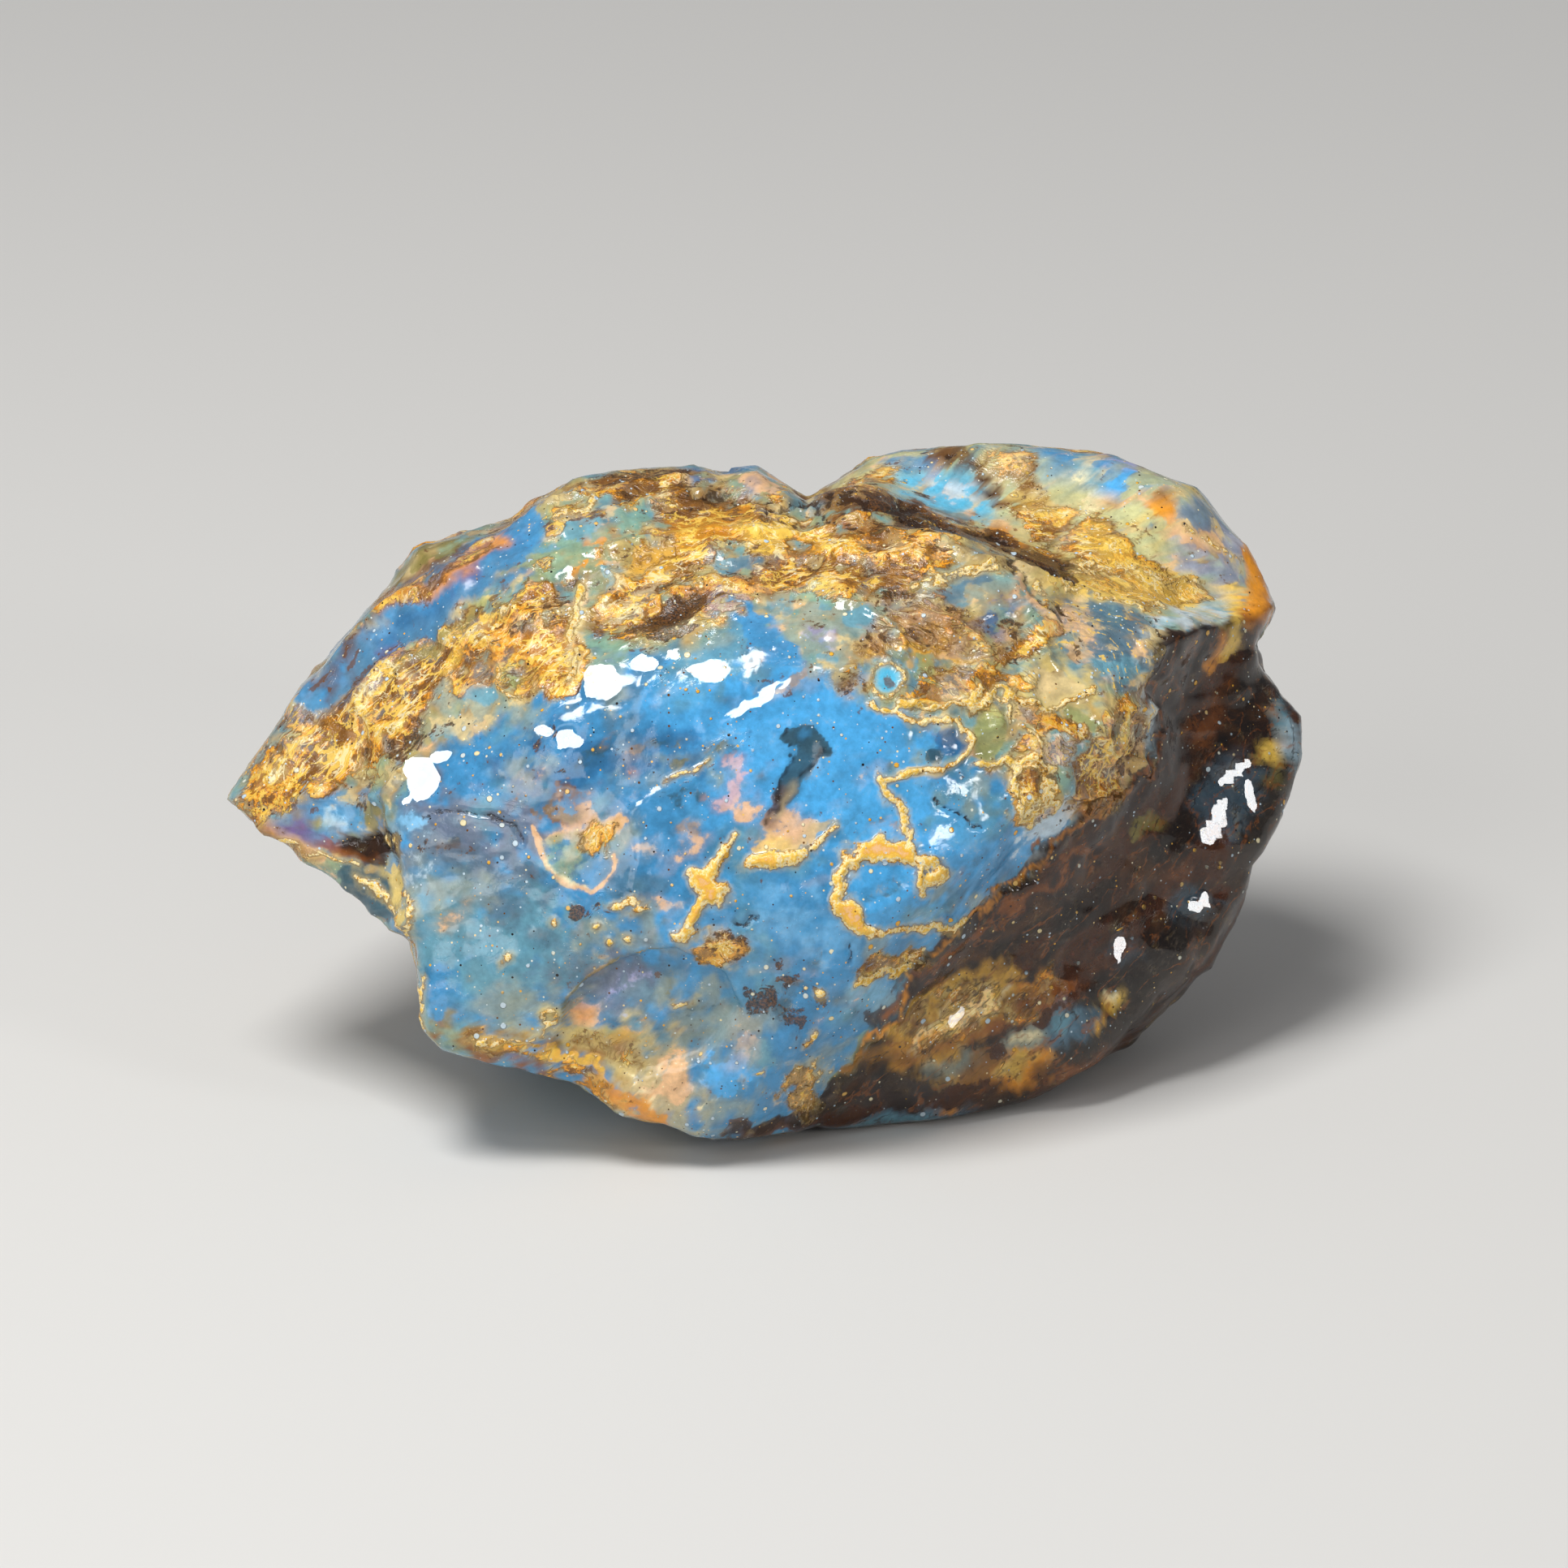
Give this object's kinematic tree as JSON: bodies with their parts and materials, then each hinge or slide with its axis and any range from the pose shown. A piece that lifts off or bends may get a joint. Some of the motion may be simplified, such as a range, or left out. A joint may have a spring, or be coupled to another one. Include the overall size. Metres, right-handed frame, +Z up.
{
  "type": "rough blue amber specimen",
  "caption": "Rough lump of blue amber with a broken glassy face, golden crust and dark resin flank, resting on a flat broken patch.",
  "frame": {"origin": "middle of the bounding box's bottom, on the plane that the specimen rests on", "axes": "+X along the length, from the pointed left end to the rounded right end; -Y the side that the main broken face looks to; +Z up"},
  "size_m": [0.0498, 0.0298, 0.0274],
  "materials": {
    "blue_amber": "gloss"
  },
  "bodies": {
    "root": {"amber_lump": "blue_amber"}
  },
  "joints": []
}
